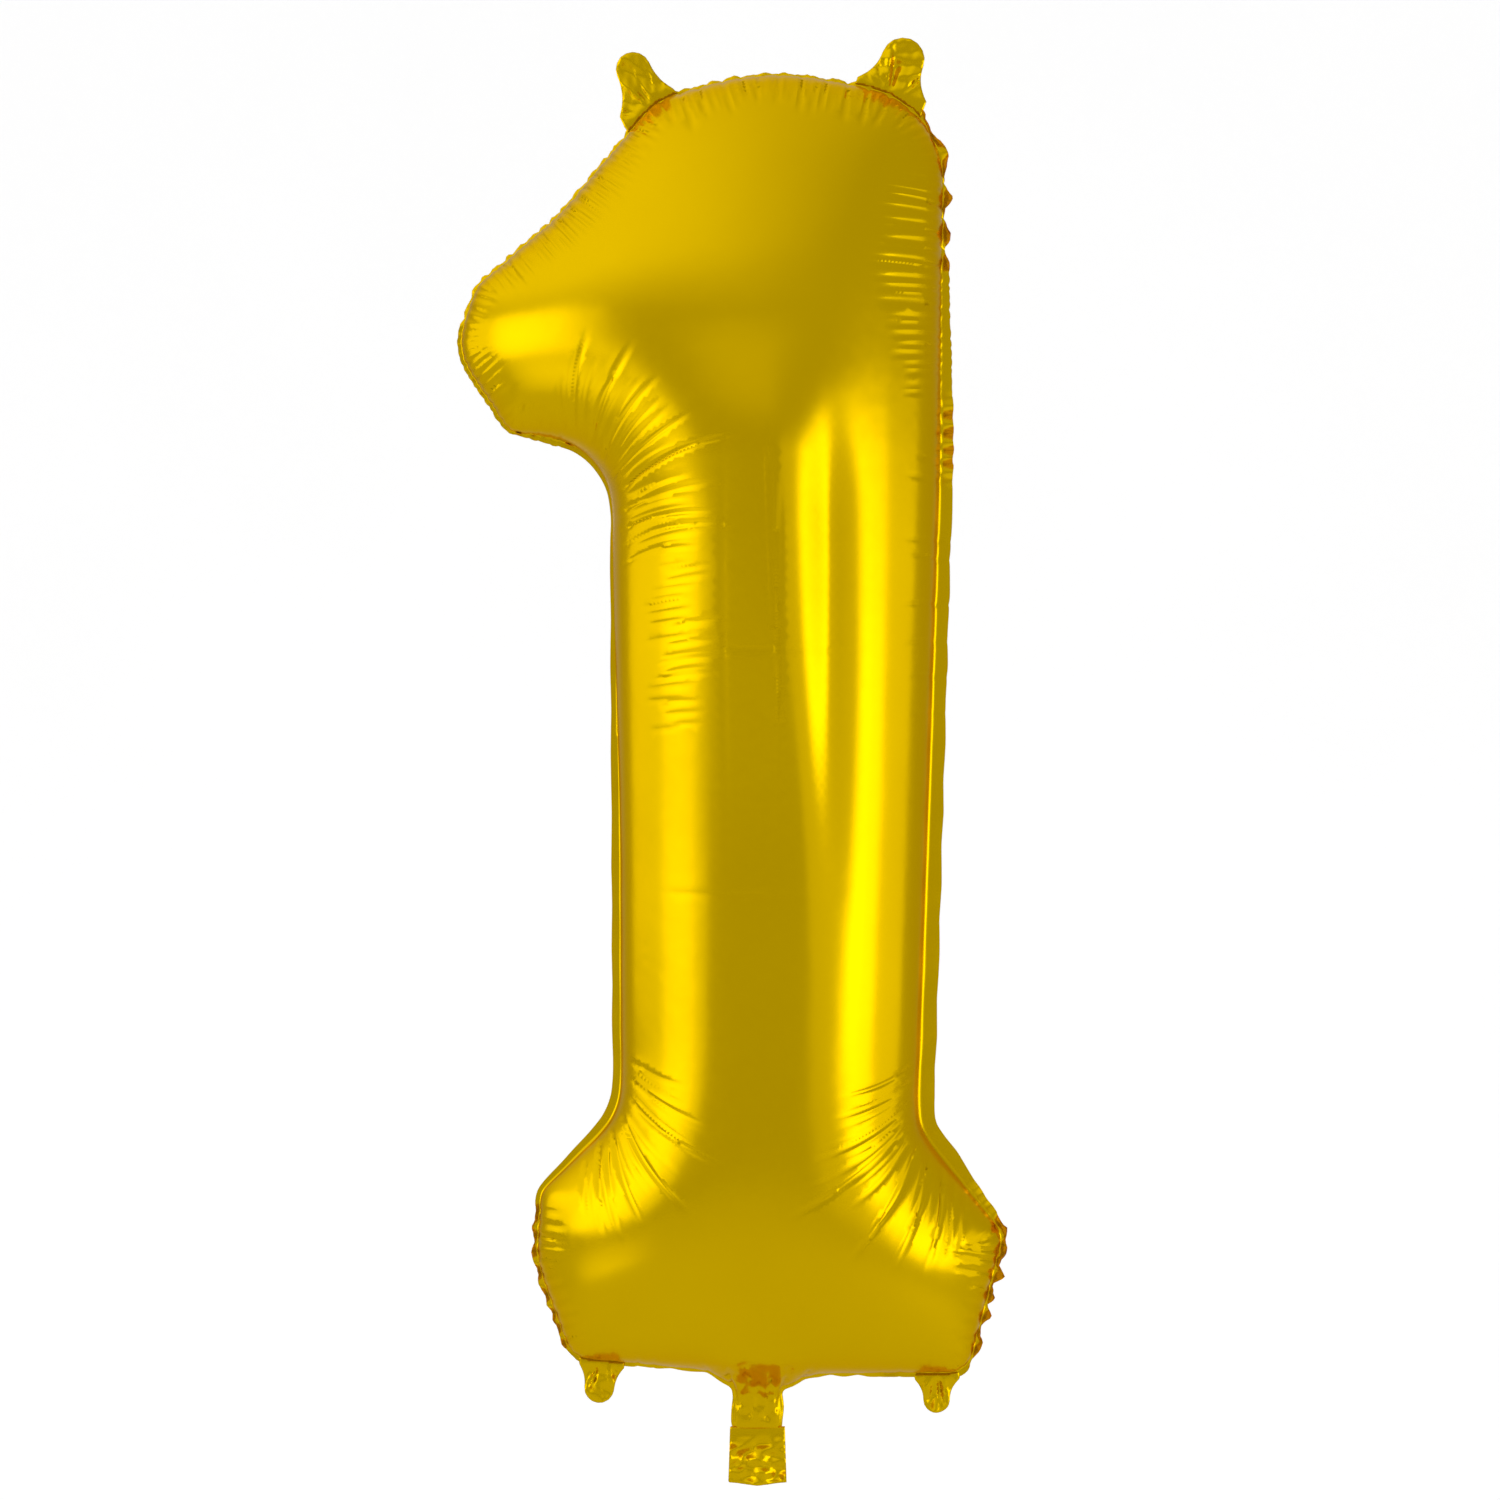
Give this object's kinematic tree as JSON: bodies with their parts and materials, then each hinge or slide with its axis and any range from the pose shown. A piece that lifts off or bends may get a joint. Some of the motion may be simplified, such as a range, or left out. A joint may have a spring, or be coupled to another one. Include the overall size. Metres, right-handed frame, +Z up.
{
  "type": "foil number balloon",
  "caption": "Inflated foil balloon in the shape of the figure one, with flat hanging tabs, a filling tail and a self-sealing film valve.",
  "frame": {"origin": "midway between the two top tabs, in the plane of the seam, where a hanging line passes", "axes": "+Z up along the figure, -Y out of the front, +X to the right seen from the front, so the flag points to -X"},
  "size_m": [0.3315, 0.21, 0.8689],
  "materials": {
    "gold_foil": "gloss",
    "valve_film": "satin"
  },
  "bodies": {
    "envelope": {"front_panel": "gold_foil", "back_panel": "gold_foil"},
    "top_left_tab": {"top_left_tab": "gold_foil"},
    "top_right_tab": {"top_right_tab": "gold_foil"},
    "bottom_left_tab": {"bottom_left_tab": "gold_foil"},
    "bottom_right_tab": {"bottom_right_tab": "gold_foil"},
    "tail": {"tail_front_sheet": "gold_foil", "tail_back_sheet": "gold_foil"},
    "valve_front": {"valve_front_film": "valve_film"},
    "valve_back": {"valve_back_film": "valve_film"}
  },
  "joints": [
    {"name": "top_left_tab_bend", "type": "hinge", "parent": "envelope", "child": "top_left_tab", "pos_m": [-0.07291, 0, -0.01889], "axis": [0.7515, 0, 0.6597], "range_deg": [-90, 90], "stiffness_Nm_per_rad": 0.0005},
    {"name": "top_right_tab_bend", "type": "hinge", "parent": "envelope", "child": "top_right_tab", "pos_m": [0.0732, 0, -0.01042], "axis": [0.9477, 0, -0.3192], "range_deg": [-90, 90], "stiffness_Nm_per_rad": 0.0005},
    {"name": "bottom_left_tab_bend", "type": "hinge", "parent": "envelope", "child": "bottom_left_tab", "pos_m": [-0.10098, 0, -0.77576], "axis": [-0.9958, 0, 0.0913], "range_deg": [-90, 90], "stiffness_Nm_per_rad": 0.0005},
    {"name": "bottom_right_tab_bend", "type": "hinge", "parent": "envelope", "child": "bottom_right_tab", "pos_m": [0.1, 0, -0.78368], "axis": [-1, 0, -0.0022], "range_deg": [-90, 90], "stiffness_Nm_per_rad": 0.0005},
    {"name": "tail_fold", "type": "hinge", "parent": "envelope", "child": "tail", "pos_m": [-0.0075, 0, -0.817], "axis": [1, 0, 0], "range_deg": [-140, 140], "stiffness_Nm_per_rad": 0.0005},
    {"name": "valve_front_opens", "type": "hinge", "parent": "envelope", "child": "valve_front", "pos_m": [-0.0075, 0, -0.813], "axis": [1, 0, 0], "range_deg": [0, 2], "stiffness_Nm_per_rad": 0.0005},
    {"name": "valve_back_opens", "type": "hinge", "parent": "envelope", "child": "valve_back", "pos_m": [-0.0075, 0, -0.813], "axis": [-1, 0, 0], "range_deg": [0, 2], "stiffness_Nm_per_rad": 0.0005}
  ],
  "couplings": [
    {"joint": "valve_back_opens", "follows": "valve_front_opens", "ratio": 1}
  ]
}
